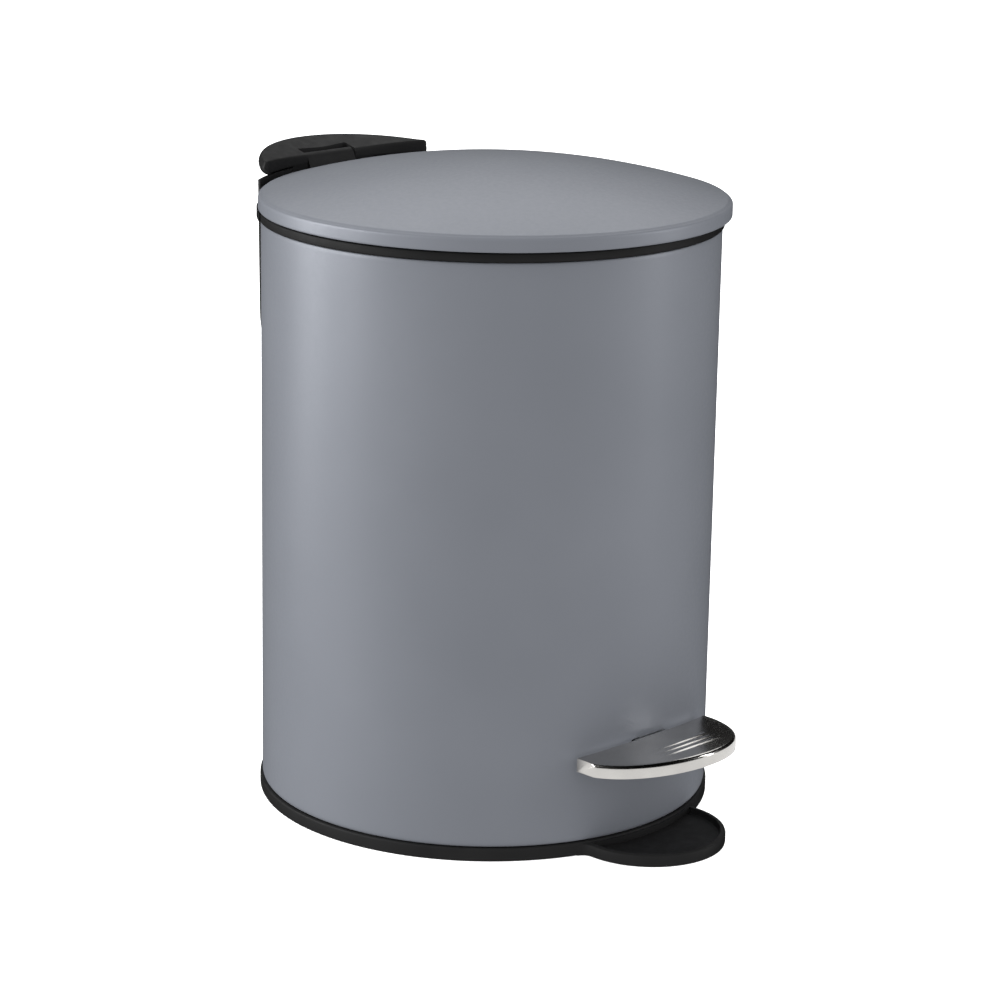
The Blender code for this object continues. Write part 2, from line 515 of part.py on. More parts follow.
def make_push_rod():
    """The upright rod that the lever's tail lifts, with a plastic foot and cap."""
    rod("push_rod", (0, ROD_Y, FOOT_LOW + 0.0018), (0, ROD_Y, CAP_TOP - 0.0018), ROD_R, ZINC_STEEL, sides=20)
    foot = rod("rod_foot", (0, ROD_Y, FOOT_LOW), (0, ROD_Y, FOOT_TOP), CAP_R, BLACK_PLASTIC, sides=20)
    combine(foot, rod("foot_bore", (0, ROD_Y, FOOT_LOW + 0.0015), (0, ROD_Y, FOOT_TOP + 0.001), ROD_R + GAP, sides=20))
    cap = rod("rod_cap", (0, ROD_Y, CAP_LOW), (0, ROD_Y, CAP_TOP), CAP_R, BLACK_PLASTIC, sides=20)
    combine(cap, rod("cap_bore", (0, ROD_Y, CAP_LOW - 0.001), (0, ROD_Y, CAP_TOP - 0.0015), ROD_R + GAP, sides=20))
    for place, low, high in (("lower", 0.0400, 0.0460), ("upper", 0.1740, 0.1820)):
        guide = box(f"rod_guide_{place}", (-0.0060, 0.0750, low), (0.0060, 0.0836, high), BLACK_PLASTIC)
        combine(guide, rod(f"guide_bore_{place}", (0, ROD_Y, low - 0.001), (0, ROD_Y, high + 0.001), ROD_R + GAP))


# ---- lid ------------------------------------------------------------------------------------
ARM_HALF, KNUCKLE_R = 0.0120, 0.0026
CRANK_CHEEK_IN, CRANK_CHEEK_OUT, CRANK_BOSS_R = 0.0050, 0.0080, 0.0026
ARM_SCREW_X, ARM_SCREW_Y = 0.0070, 0.0655


def dome_z(radius):
    """Height of the lid's outer face at a distance from its centre."""
    return LID_SHOULDER + DOME_H * (1 - (radius / LID_R) ** 2)


def make_lid_shell():
    """The steel lid: a shallow dome with an upright rim, notched for the hinge arm."""
    count = 10
    radii = [LID_R * math.sin(math.pi / 2 * i / count) for i in range(count)] + [LID_R - 0.0007]
    outer = [(r, dome_z(r)) for r in radii] + [(LID_R, LID_SHOULDER - 0.0007), (LID_R, LID_BOTTOM)]
    inner = [(LID_R - SHEET, LID_BOTTOM), (LID_R - SHEET, LID_SHOULDER - 0.0009)]
    inner += [(r, dome_z(r) - SHEET) for r in reversed(radii[:-1])]
    lid = turned("lid_shell", outer + inner, SLATE_PAINT, closed=False, centre_y=LID_SHIFT)
    notch = ARM_HALF + 0.0006
    combine(lid, box("lid_notch", (-notch, 0.0800, 0.2200), (notch, 0.0900, LID_SHOULDER - 0.0003)))
    return lid


def make_lid_liner():
    """The plastic plate that closes the lid from below, with its skirt."""
    rim = LID_R - SHEET - 0.0004
    profile = [(0.0, LINER_HIGH), (rim, LINER_HIGH), (rim, LID_BOTTOM + 0.0004), (rim - 0.0015, LID_BOTTOM + 0.0004),
               (rim - 0.0015, LINER_LOW), (0.0, LINER_LOW)]
    liner = turned("lid_liner", profile, DARK_LINER, closed=False, centre_y=LID_SHIFT)
    notch = ARM_HALF + 0.0006
    combine(liner, box("liner_notch", (-notch, 0.0715, 0.2200), (notch, 0.0900, 0.2300)))
    for side, x in (("left", -ARM_SCREW_X), ("right", ARM_SCREW_X)):
        combine(liner, rod(f"liner_hole_{side}", (x, ARM_SCREW_Y, 0.2200), (x, ARM_SCREW_Y, 0.2300), 0.0016, sides=20))
        pan_screw(f"arm_screw_{side}", (x, ARM_SCREW_Y, LINER_LOW - GAP), (x, ARM_SCREW_Y, LINER_HIGH + 0.0030), 0.0012,
                  head_r=0.0026, head_h=0.0013)
    return liner


def make_hinge_arm():
    """The lid's hinge arm: a tongue over the liner, a knuckle on the pin, a crank below."""
    seat = LINER_HIGH + GAP
    outline = [(0.0600, seat), (0.0720, seat), (0.0720, 0.2246), (0.0865, 0.2246), (0.0892, 0.2284)]
    outline += arc((HINGE_Y, HINGE_Z), KNUCKLE_R, -100, 160, 14)
    outline += [(0.0872, 0.2299), (0.0863, 0.2283), (0.0840, 0.2283), (0.0800, 0.2290), (0.0760, seat + 0.0015),
                (0.0600, seat + 0.0015)]
    arm = plate("lid_hinge_arm", outline, -ARM_HALF, ARM_HALF, BLACK_PLASTIC, across='X')
    cheek = arc((CRANK_Y, CRANK_Z), CRANK_BOSS_R, 180, 360, 10) + [(CRANK_Y + 0.0028, 0.2250), (CRANK_Y - 0.0028, 0.2250)]
    for side, sign in (("left", -1), ("right", 1)):
        low_x, high_x = sorted((sign * CRANK_CHEEK_IN, sign * CRANK_CHEEK_OUT))
        combine(arm, plate(f"crank_cheek_{side}", cheek, low_x, high_x, across='X'), 'UNION')
        x = sign * ARM_SCREW_X
        combine(arm, rod(f"arm_hole_{side}", (x, ARM_SCREW_Y, 0.2240), (x, ARM_SCREW_Y, 0.2320), 0.0016, sides=20))
    # between the cheeks, room for the rod's cap as the crank swings over it
    combine(arm, box("crank_gap", (-CRANK_CHEEK_IN, CRANK_Y - 0.0055, 0.2180),
                     (CRANK_CHEEK_IN, CRANK_Y + 0.0056, CRANK_Z + 0.0030)))
    combine(arm, rod("knuckle_bore", (-0.014, HINGE_Y, HINGE_Z), (0.014, HINGE_Y, HINGE_Z), PIN_R + GAP))
    bore_x = CRANK_CHEEK_OUT + 0.0010
    combine(arm, rod("crank_bore", (-bore_x, CRANK_Y, CRANK_Z), (bore_x, CRANK_Y, CRANK_Z), PIN_R + GAP))
    rod("crank_pin", (-0.0083, CRANK_Y, CRANK_Z), (0.0083, CRANK_Y, CRANK_Z), PIN_R, ZINC_STEEL)
    return arm


# ---- build everything -----------------------------------------------------------------------
make_base()
make_shell()
make_ring()
make_bucket()
make_bail()
make_handle()
make_rear_cover()
make_pedal()
make_lever()
make_bracket()
make_push_rod()
make_lid_shell()
make_lid_liner()
make_hinge_arm()
for part in PARTS.objects:
    part.data.shade_smooth()
    part.data.set_sharp_from_angle(angle=math.radians(35))


def hang(axis, place, names):
    """Parent moving parts, and the tools that shape them, to an empty on their joint's axis."""
    empty = bpy.data.objects.new(axis, None)
    empty.empty_display_size = 0.01
    empty.location = place
    PARTS.objects.link(empty)
    keep = Matrix.Translation(place).inverted()
    for name in names:
        part = bpy.data.objects[name]
        for piece in [part] + [step.object for step in part.modifiers if step.type == 'BOOLEAN']:
            piece.parent = empty
            piece.matrix_parent_inverse = keep


hang("lid_axis", (0, HINGE_Y, HINGE_Z),
     ["lid_shell", "lid_liner", "lid_hinge_arm", "crank_pin", "arm_screw_left", "arm_screw_right"])
hang("pedal_axis", (0, LEVER_Y, LEVER_Z),
     ["pedal_plate", "pedal_lever", "pedal_rivet_left", "pedal_rivet_right"])
hang("rod_axis", (0, ROD_Y, FOOT_LOW), ["push_rod", "rod_cap", "rod_foot"])
print(sum(part.type == 'MESH' for part in PARTS.objects), "parts")
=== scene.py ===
# %% [markdown]
# # A small pedal bin, dressed for its portrait
#
# The bin is a painted steel tube with a domed lid, black plastic fittings and a polished steel pedal.
# Its working model, with every part in its real place, is loaded first and is never moved. Each cell
# below then either builds a finer piece around one of those parts or gives the part a better finish.

# %% Load the working model
import math

import bmesh
import bpy
from mathutils import Matrix, Vector


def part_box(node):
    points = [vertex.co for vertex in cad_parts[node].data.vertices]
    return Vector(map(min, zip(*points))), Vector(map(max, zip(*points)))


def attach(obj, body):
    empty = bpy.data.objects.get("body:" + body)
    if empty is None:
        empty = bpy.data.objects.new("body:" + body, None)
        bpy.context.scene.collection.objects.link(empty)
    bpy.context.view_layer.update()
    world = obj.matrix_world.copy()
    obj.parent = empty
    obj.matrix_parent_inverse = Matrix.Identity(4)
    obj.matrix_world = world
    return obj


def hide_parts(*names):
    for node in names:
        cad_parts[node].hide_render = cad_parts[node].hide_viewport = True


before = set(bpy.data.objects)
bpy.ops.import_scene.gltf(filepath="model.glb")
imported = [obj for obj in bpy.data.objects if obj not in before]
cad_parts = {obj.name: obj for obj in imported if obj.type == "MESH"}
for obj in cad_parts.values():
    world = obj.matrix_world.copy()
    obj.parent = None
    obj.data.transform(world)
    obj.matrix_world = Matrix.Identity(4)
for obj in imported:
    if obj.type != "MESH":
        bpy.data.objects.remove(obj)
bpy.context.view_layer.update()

# %% [markdown]
# ## Sizes
#
# A part's box tells where it is, so most sizes are read from the model rather than typed again.
# Only what a box can't tell, such as the thickness of a sheet, is a named value here.

# %% Sizes read from the model
MM = 0.001
shell_low, shell_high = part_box("outer_shell")
base_low, base_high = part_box("base_tray")
ring_low, ring_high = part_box("top_ring")
lid_low, lid_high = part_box("lid_shell")
handle_low, handle_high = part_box("carry_handle")
pedal_low, pedal_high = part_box("pedal_plate")
bucket_low, bucket_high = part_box("inner_bucket")
liner_low, liner_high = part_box("lid_liner")
pin_low, pin_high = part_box("hinge_pin")
HINGE = (pin_low + pin_high) / 2
SHEET = 0.6 * MM
SHELL_R = shell_high.x
LID_R = lid_high.x
LID_Y = (lid_low.y + lid_high.y) / 2
print(f"body radius {SHELL_R / MM:.1f} mm, lid radius {LID_R / MM:.1f} mm, lid shifted {LID_Y / MM:.1f} mm")

# %% [markdown]
# ## Camera
#
# A long lens from a little over a metre keeps the bin's sides almost parallel. The camera stands to the
# front left, looks down at the lid and leans about one degree, and the bin ends up slightly left of
# the middle. The pose is built from turns about named axes, which is easier to read than a matrix.

# %% Camera
CAMERA_AWAY, CAMERA_UP = 1.15, 0.4277
CAMERA_SIDE, CAMERA_TURN, CAMERA_DOWN, CAMERA_LEAN = map(math.radians, (-45.4, -0.236, 15.349, 0.991))
camera = bpy.data.objects.new("camera", bpy.data.cameras.new("camera"))
camera.data.sensor_width = 36.0
camera.data.lens = 113.66
camera.data.clip_start = 0.05
camera.location = (CAMERA_AWAY * math.sin(CAMERA_SIDE), -CAMERA_AWAY * math.cos(CAMERA_SIDE), CAMERA_UP)
camera.rotation_euler = (Matrix.Rotation(CAMERA_SIDE + CAMERA_TURN, 3, 'Z')
                         @ Matrix.Rotation(math.pi / 2 - CAMERA_DOWN, 3, 'X')
                         @ Matrix.Rotation(CAMERA_LEAN, 3, 'Z')).to_euler()
bpy.context.scene.collection.objects.link(camera)
bpy.context.scene.camera = camera
print("camera at", [round(v, 3) for v in camera.location], "lens", camera.data.lens)

# %% [markdown]
# ## Floor and light
#
# The picture is high-key: a white floor, an even fill from all round and a few soft lights. The floor
# glows a little so that it stays white. The floor and the fill are left out of reflections, so only the
# softboxes shape the paint, and its edges turn dark. Polished steel would turn black in such a room, so
# a glowing card under the floor is linked to the pedal alone. Each softbox is an area light on a circle
# round the bin, placed by where it stands as seen from the camera.

# %% Floor
def plain_material(name, colour, roughness):
    mat = bpy.data.materials.new(name)
    mat.use_nodes = True
    shader = mat.node_tree.nodes["Principled BSDF"]
    shader.inputs["Base Color"].default_value = (*colour, 1.0)
    shader.inputs["Roughness"].default_value = roughness
    return mat


def sheet_on_ground(name, half, height, white, glow):
    """A square sheet, level with the ground, of a given whiteness and glow."""
    mat = plain_material(name + "_finish", (white, white, white), 0.9)
    shader = mat.node_tree.nodes["Principled BSDF"]
    shader.inputs["Specular IOR Level"].default_value = 0.5 * white
    shader.inputs["Emission Color"].default_value = (1.0, 1.0, 1.0, 1.0)
    shader.inputs["Emission Strength"].default_value = glow
    mesh = bpy.data.meshes.new(name)
    corners = [(-half, -half, height), (half, -half, height), (half, half, height), (-half, half, height)]
    mesh.from_pydata(corners, [], [(0, 1, 2, 3)])
    mesh.materials.append(mat)
    sheet = bpy.data.objects.new(name, mesh)
    bpy.context.scene.collection.objects.link(sheet)
    sheet.visible_diffuse = False
    return sheet


floor = sheet_on_ground("floor", 12.0, 0.0, 0.92, 0.60)
floor.visible_glossy = False
card = sheet_on_ground("steel_card", 0.6, -1.0 * MM, 0.0, 1.0)
card.visible_camera = False
card.visible_shadow = False
MIRRORED = bpy.data.collections.new("mirrors_the_card")
card.light_linking.receiver_collection = MIRRORED
print("floor and card ready")

# %% Lights
SOFTBOXES = [
    # name, degrees round from the camera (left is negative), height, distance, width, height, power
    ("left_panel", -95, 0.45, 1.6, 0.5, 1.5, 20.0),
    ("left_strip", -70, 0.45, 1.6, 0.2, 1.5, 13.5),
    ("right_strip", 86, 0.45, 1.6, 0.2, 1.5, 8.5),
    ("high_behind", 180, 1.50, 1.4, 1.6, 1.0, 8.4),
]


def softbox(name, side, up, away, width, height, power):
    """An area light aimed at the middle of the bin."""
    data = bpy.data.lights.new(name, 'AREA')
    data.shape = 'RECTANGLE'
    data.size = width
    data.size_y = height
    data.energy = power
    light = bpy.data.objects.new(name, data)
    angle = CAMERA_SIDE + math.radians(side)
    light.location = (away * math.sin(angle), -away * math.cos(angle), up)
    aim = Vector((0, 0, 0.12)) - light.location
    light.rotation_euler = aim.to_track_quat('-Z', 'Y').to_euler()
    bpy.context.scene.collection.objects.link(light)
    return light


for box in SOFTBOXES:
    softbox(*box)
world = bpy.data.worlds.new("studio")
world.use_nodes = True
world.node_tree.nodes["Background"].inputs["Color"].default_value = (1.0, 1.0, 1.0, 1.0)
world.node_tree.nodes["Background"].inputs["Strength"].default_value = 1.5
world.cycles_visibility.glossy = False
bpy.context.scene.world = world
bpy.context.scene.view_settings.view_transform = 'Standard'
print(len(SOFTBOXES), "softboxes")

# %% [markdown]
# ## Finishes
#
# Every finish is a Principled shader whose colour, roughness or bump comes from procedural noise in the
# object's own metres, so a grain of 0.3 mm is 0.3 mm on every piece. What is the same all over, such as
# metallic, is typed straight on the shader.

# %% Helpers for finishes
def finish(name, metallic=0.0, specular=0.5, coat=0.0, coat_roughness=0.1):
    """A Principled material and its node tree, ready for patterns."""
    mat = bpy.data.materials.new(name)
    mat.use_nodes = True
    shader = mat.node_tree.nodes["Principled BSDF"]
    shader.inputs["Metallic"].default_value = metallic
    shader.inputs["Specular IOR Level"].default_value = specular
    shader.inputs["Coat Weight"].default_value = coat
    shader.inputs["Coat Roughness"].default_value = coat_roughness
    return mat, mat.node_tree, shader


def noise(tree, size, detail=3.0, stretch=(1, 1, 1)):
    """Noise whose grains are about this many metres across."""
    place = tree.nodes.new("ShaderNodeTexCoord")
    scale = tree.nodes.new("ShaderNodeMapping")
    scale.inputs["Scale"].default_value = stretch
    pattern = tree.nodes.new("ShaderNodeTexNoise")
    pattern.inputs["Scale"].default_value = 1.0 / size
    pattern.inputs["Detail"].default_value = detail
    tree.links.new(place.outputs["Object"], scale.inputs["Vector"])
    tree.links.new(scale.outputs["Vector"], pattern.inputs["Vector"])
    return pattern.outputs["Fac"]


def spread(tree, value, low, high):
    """Map a pattern's middle range to low and high."""
    node = tree.nodes.new("ShaderNodeMapRange")
    node.inputs["From Min"].default_value = 0.3
    node.inputs["From Max"].default_value = 0.7
    node.inputs["To Min"].default_value = low
    node.inputs["To Max"].default_value = high
    tree.links.new(value, node.inputs["Value"])
    return node.outputs["Result"]


def tint(tree, value, dark, light):
    """A colour between two, by a pattern."""
    ramp = tree.nodes.new("ShaderNodeValToRGB")
    ramp.color_ramp.elements[0].position = 0.3
    ramp.color_ramp.elements[1].position = 0.7
    ramp.color_ramp.elements[0].color = (*dark, 1.0)
    ramp.color_ramp.elements[1].color = (*light, 1.0)
    tree.links.new(value, ramp.inputs["Fac"])
    return ramp.outputs["Color"]


def bump(tree, shader, value, height, strength=1.0):
    """Relief of about this height in metres."""
    node = tree.nodes.new("ShaderNodeBump")
    node.inputs["Distance"].default_value = height
    node.inputs["Strength"].default_value = strength
    tree.links.new(value, node.inputs["Height"])
    tree.links.new(node.outputs["Normal"], shader.inputs["Normal"])


# %% [markdown]
# ### Slate lacquer
#
# The body and lid are sprayed with a satin slate-grey lacquer. Up close it has faint orange peel a
# millimetre or two across and a very fine powder grain, which spreads highlights into soft bands.

# %% Slate lacquer
def slate_lacquer():
    mat, tree, shader = finish("slate_lacquer", metallic=0.25, specular=0.4)
    cloud = noise(tree, 60 * MM, 2.0)
    colour = tint(tree, cloud, (0.152, 0.162, 0.184), (0.163, 0.173, 0.196))
    tree.links.new(colour, shader.inputs["Base Color"])
    tree.links.new(spread(tree, noise(tree, 1.6 * MM, 3.0), 0.40, 0.46), shader.inputs["Roughness"])
    bump(tree, shader, noise(tree, 0.5 * MM, 2.0), 0.006 * MM, 0.4)
    return mat


LACQUER = slate_lacquer()
print("made", LACQUER.name)

# %% [markdown]
# ### Plastics and rubber
#
# The fittings are black moulded plastic with a fine spark-eroded texture. The bucket and the lid's
# liner are the same kind of plastic, smoother and a shade lighter. Feet and bumpers are matt rubber.

# %% Plastics and rubber
def moulded(name, dark, light, rough_low, rough_high, grain, relief, specular=0.4):
    mat, tree, shader = finish(name, specular=specular)
    tree.links.new(tint(tree, noise(tree, 25 * MM, 2.0), dark, light), shader.inputs["Base Color"])
    roughness = spread(tree, noise(tree, 4 * MM, 3.0), rough_low, rough_high)
    tree.links.new(roughness, shader.inputs["Roughness"])
    bump(tree, shader, noise(tree, grain, 2.0), relief, 0.6)
    return mat


BLACK = moulded("black_moulded", (0.0105, 0.0105, 0.0108), (0.0130, 0.0130, 0.0133), 0.50, 0.60,
                0.45 * MM, 0.02 * MM, specular=0.13)
DARK = moulded("dark_moulded", (0.028, 0.028, 0.031), (0.034, 0.034, 0.037), 0.36, 0.44,
               0.9 * MM, 0.012 * MM)
RUBBER = moulded("matt_rubber", (0.030, 0.030, 0.030), (0.040, 0.040, 0.040), 0.72, 0.84,
                 0.3 * MM, 0.02 * MM)
print("made", BLACK.name, DARK.name, RUBBER.name)

# %% [markdown]
# ### Bare metals
#
# The pedal is polished stainless steel with hair-fine lines left by the polishing wheel. Pins, screws,
# lever and bracket are zinc plated: duller, with soft cloudy patches.

# %% Bare metals
def polished_steel():
    mat, tree, shader = finish("polished_steel", metallic=1.0)
    colour = tint(tree, noise(tree, 12 * MM, 2.0), (0.58, 0.565, 0.545), (0.64, 0.625, 0.60))
    tree.links.new(colour, shader.inputs["Base Color"])
    lines = noise(tree, 3 * MM, 4.0, stretch=(1.0, 14.0, 14.0))
    tree.links.new(spread(tree, lines, 0.16, 0.26), shader.inputs["Roughness"])
    bump(tree, shader, lines, 0.004 * MM, 0.5)
    return mat


def zinc_plate():
    mat, tree, shader = finish("zinc_plate", metallic=1.0)
    colour = tint(tree, noise(tree, 3 * MM, 3.0), (0.40, 0.41, 0.42), (0.56, 0.56, 0.54))
    tree.links.new(colour, shader.inputs["Base Color"])
    tree.links.new(spread(tree, noise(tree, 1.2 * MM, 3.0), 0.28, 0.44), shader.inputs["Roughness"])
    bump(tree, shader, noise(tree, 0.4 * MM, 2.0), 0.006 * MM, 0.5)
    return mat


STEEL = polished_steel()
ZINC = zinc_plate()
print("made", STEEL.name, ZINC.name)

# %% [markdown]
# ## Modelling helpers
#
# Most pieces of a bin are turned or pressed. A turned piece is a profile spun round an upright axis, and
# a bent or tapering piece is a row of sections skinned together. Both helpers build closed meshes.

# %% Outlines
def arc(centre, radius, start, end, count):
    """Points on an arc, angles in degrees."""
    angles = [math.radians(start + (end - start) * i / count) for i in range(count + 1)]
    return [(centre[0] + radius * math.cos(a), centre[1] + radius * math.sin(a)) for a in angles]


def softened(outline, radius, steps=4):
    """A closed outline with its corners rounded. Radius is one number, or one for each corner."""
    count = len(outline)
    radii = [radius] * count if isinstance(radius, (int, float)) else radius
    out = []
    for i, corner in enumerate(outline):
        here = Vector(corner)
        back, ahead = Vector(outline[i - 1]) - here, Vector(outline[(i + 1) % count]) - here
        reach = min(radii[i], back.length * 0.49, ahead.length * 0.49)
        if reach < 1e-6:
            out.append(here)
            continue
        first, last = here + back.normalized() * reach, here + ahead.normalized() * reach
        for k in range(steps + 1):
            t = k / steps
            out.append(first * (1 - t) ** 2 + here * (2 * t * (1 - t)) + last * t ** 2)
    return [(p.x, p.y) for p in out]


def polar(radius, degrees, height=0.0):
    """A point at an angle from the back (+Y), towards +X."""
    angle = math.radians(degrees)
    return Vector((radius * math.sin(angle), radius * math.cos(angle), height))


# %% Meshes
def new_piece(name, bm):
    """A smooth-shaded object from a bmesh, with its faces looking out and its sharp edges kept."""
    bmesh.ops.remove_doubles(bm, verts=bm.verts, dist=1e-7)
    bmesh.ops.recalc_face_normals(bm, faces=bm.faces)
    mesh = bpy.data.meshes.new(name)
    bm.to_mesh(mesh)
    bm.free()
    obj = bpy.data.objects.new(name, mesh)
    bpy.context.scene.collection.objects.link(obj)
    smooth(obj)
    return obj


def smooth(obj, angle=38):
    obj.data.shade_smooth()
    obj.data.set_sharp_from_angle(angle=math.radians(angle))


def spun(name, profile, centre_y=0.0, steps=192):
    """A closed (radius, height) profile spun round an upright axis at y = centre_y."""
    bm = bmesh.new()
    rings = []
    for r, z in profile:
        if r < 1e-7:
            rings.append([bm.verts.new((0.0, centre_y, z))] * steps)
            continue
        turn = [math.tau * k / steps for k in range(steps)]
        rings.append([bm.verts.new((r * math.sin(a), centre_y + r * math.cos(a), z)) for a in turn])
    for i, ring in enumerate(rings):
        after = rings[(i + 1) % len(rings)]
        if ring[0] is ring[1] and after[0] is after[1]:
            continue
        for k in range(steps):
            n = (k + 1) % steps
            corners = [ring[k], ring[n], after[n], after[k]]
            bm.faces.new(list(dict.fromkeys(corners)))
    return new_piece(name, bm)


def skinned(name, sections):
    """A row of matching closed sections skinned together, with flat ends."""
    bm = bmesh.new()
    rows = [[bm.verts.new(point) for point in section] for section in sections]
    count = len(rows[0])
    for here, there in zip(rows, rows[1:]):
        for k in range(count):
            n = (k + 1) % count
            bm.faces.new((here[k], here[n], there[n], there[k]))
    bm.faces.new(rows[0])
    bm.faces.new(rows[-1])
    return new_piece(name, bm)


def block(name, low, high):
    """A box between two corners, as a tool for carving."""
    x0, y0, z0 = low
    x1, y1, z1 = high
    return skinned(name, [[(x0, y0, z), (x1, y0, z), (x1, y1, z), (x0, y1, z)] for z in (z0, z1)])


def bar(name, start, end, radius, sides=32):
    """A round bar between two points."""
    start, end = Vector(start), Vector(end)
    turn = (end - start).to_track_quat('Z', 'Y').to_matrix()
    ring = [turn @ Vector((x, y, 0)) for x, y in arc((0, 0), radius, 0, 360 - 360 / sides, sides - 1)]
    return skinned(name, [[end_point + p for p in ring] for end_point in (start, end)])


def carve(piece, tool, operation='DIFFERENCE'):
    """Cut a piece with a tool, or join the tool to it, and keep the result as its mesh."""
    step = piece.modifiers.new("carve", 'BOOLEAN')
    step.operation = operation
    step.solver = 'EXACT'
    step.object = tool
    bpy.context.view_layer.update()
    graph = bpy.context.evaluated_depsgraph_get()
    mesh = bpy.data.meshes.new_from_object(piece.evaluated_get(graph))
    piece.modifiers.clear()
    piece.data = mesh
    bpy.data.objects.remove(tool, do_unlink=True)
    smooth(piece)
    return piece


def round_edges(piece, width, segments=3, angle=38):
    """Break the sharp edges with a small bevel, as a modifier."""
    weld = piece.modifiers.new("weld", 'WELD')
    weld.merge_threshold = 1e-6
    step = piece.modifiers.new("round_edges", 'BEVEL')
    step.width = width
    step.segments = segments
    step.angle_limit = math.radians(angle)
    step.harden_normals = True


def dress(piece, material, body, slot, *nodes):
    """Finish a piece, hang it on the body it rides on and hide the parts it stands for."""
    piece.data.materials.clear()
    piece.data.materials.append(material)
    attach(piece, body)
    if nodes:
        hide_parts(*nodes)
    print(f"{piece.name}: {len(piece.data.polygons)} faces, on {body}")


# %% [markdown]
# ## Body
#
# The body is a thin steel tube. Its top edge is rolled in under the collar, which catches a thin line
# of light, and the slot for the lever has rounded corners. A spun profile gives the tube its wall.

# %% Body
SHELL_IN = SHELL_R - SHEET
ROLL_IN, ROLL_DOWN = 0.55 * MM, 1.8 * MM
SLOT_HALF, SLOT_LOW, SLOT_HIGH = 9.5 * MM, 32.2 * MM, 40.6 * MM
COVER_SCREW_ANGLE, COVER_SCREW_Z = 14, 0.1970


def rolled_edge(z_edge, direction):
    """Quarter of an ellipse from the wall to the rolled edge. Direction is +1 at the top."""
    turns = [math.radians(90 * i / 6) for i in range(7)]
    return [(SHELL_R - ROLL_IN * (1 - math.cos(t)), z_edge - direction * ROLL_DOWN * (1 - math.sin(t)))
            for t in turns]


def slot_tool(name, half, low, high, corner):
    corners = [(-half, low), (half, low), (half, high), (-half, high)]
    outline = softened(corners, corner, 5)
    return skinned(name, [[(x, y, z) for x, z in outline] for y in (-0.095, -0.075)])


def make_body():
    heights = [shell_high.z - 10 * MM - i * 15 * MM for i in range(13)]
    outer = list(reversed(rolled_edge(shell_high.z, 1))) + [(SHELL_R, z) for z in heights]
    outer += rolled_edge(shell_low.z, -1)
    inner = [(SHELL_IN - 0.1 * MM, shell_low.z), (SHELL_IN - 0.1 * MM, shell_high.z)]
    body = spun("steel_body", outer + inner, steps=256)
    carve(body, slot_tool("slot", SLOT_HALF, SLOT_LOW, SLOT_HIGH, 2.0 * MM))
    for angle in (-COVER_SCREW_ANGLE, COVER_SCREW_ANGLE):
        start = polar(SHELL_R - 5 * MM, angle, COVER_SCREW_Z)
        end = polar(SHELL_R + 3 * MM, angle, COVER_SCREW_Z)
        carve(body, bar("hole", start, end, 1.9 * MM))
    return body


dress(make_body(), LACQUER, "body", "slate_paint", "outer_shell")

# %% [markdown]
# ## Lid
#
# The lid is spun from the same steel: a shallow dome that rolls over a tight shoulder into an upright
# rim. The shoulder carries the bright line round the lid, so it gets a real radius and not a bevel
# map. At the back the rim is notched for the hinge arm.

# %% Lid
SHOULDER_Z = lid_low.z + 5.3 * MM
DOME_H = lid_high.z - SHOULDER_Z
SHOULDER_R = 1.3 * MM
ARM_NOTCH = 12.6 * MM


def dome_z(r):
    return SHOULDER_Z + DOME_H * (1 - (r / LID_R) ** 2)


def lid_profile(inset):
    """Half of the lid's section from the middle to the rim, offset inwards by inset."""
    far = LID_R - inset
    curve = [(far * 0.985 * math.sin(math.radians(90 * i / 24)), 0) for i in range(24)]
    curve = [(r, dome_z(r) - inset) for r, _ in curve]
    shoulder = arc((far - SHOULDER_R, SHOULDER_Z - SHOULDER_R - inset), SHOULDER_R, 78, 0, 8)
    return curve + shoulder


def make_lid():
    outside = lid_profile(0.0) + [(LID_R, lid_low.z + 0.9 * MM)]
    hem = arc((LID_R - 0.45 * MM, lid_low.z + 0.45 * MM), 0.45 * MM, 0, -180, 6)
    inside = [(LID_R - 0.9 * MM, lid_low.z + 1.2 * MM), (LID_R - SHEET, lid_low.z + 1.4 * MM)]
    lid = spun("steel_lid", outside + hem + inside + list(reversed(lid_profile(SHEET))), LID_Y, 256)
    carve(lid, block("notch", (-ARM_NOTCH, 80 * MM, 220 * MM), (ARM_NOTCH, 90 * MM, SHOULDER_Z - 0.3 * MM)))
    return lid


dress(make_lid(), LACQUER, "lid", "slate_paint", "lid_shell")

# %% [markdown]
# ## Collar
#
# A moulded collar caps the body's top edge. Under the lid it forms a shelf for three rubber bumpers and
# a lower ledge that the bucket hangs from. Every moulded corner has a small radius.

# %% Collar
COLLAR_IN, COLLAR_T = SHELL_IN - 0.3 * MM, 1.6 * MM
LEDGE_R, LEDGE_Z, LEDGE_WALL = 71.4 * MM, 216.0 * MM, 74.2 * MM
SHELF_Z, SHELF_R = 220.5 * MM, 81.2 * MM
RING_NOTCH = 13.5 * MM


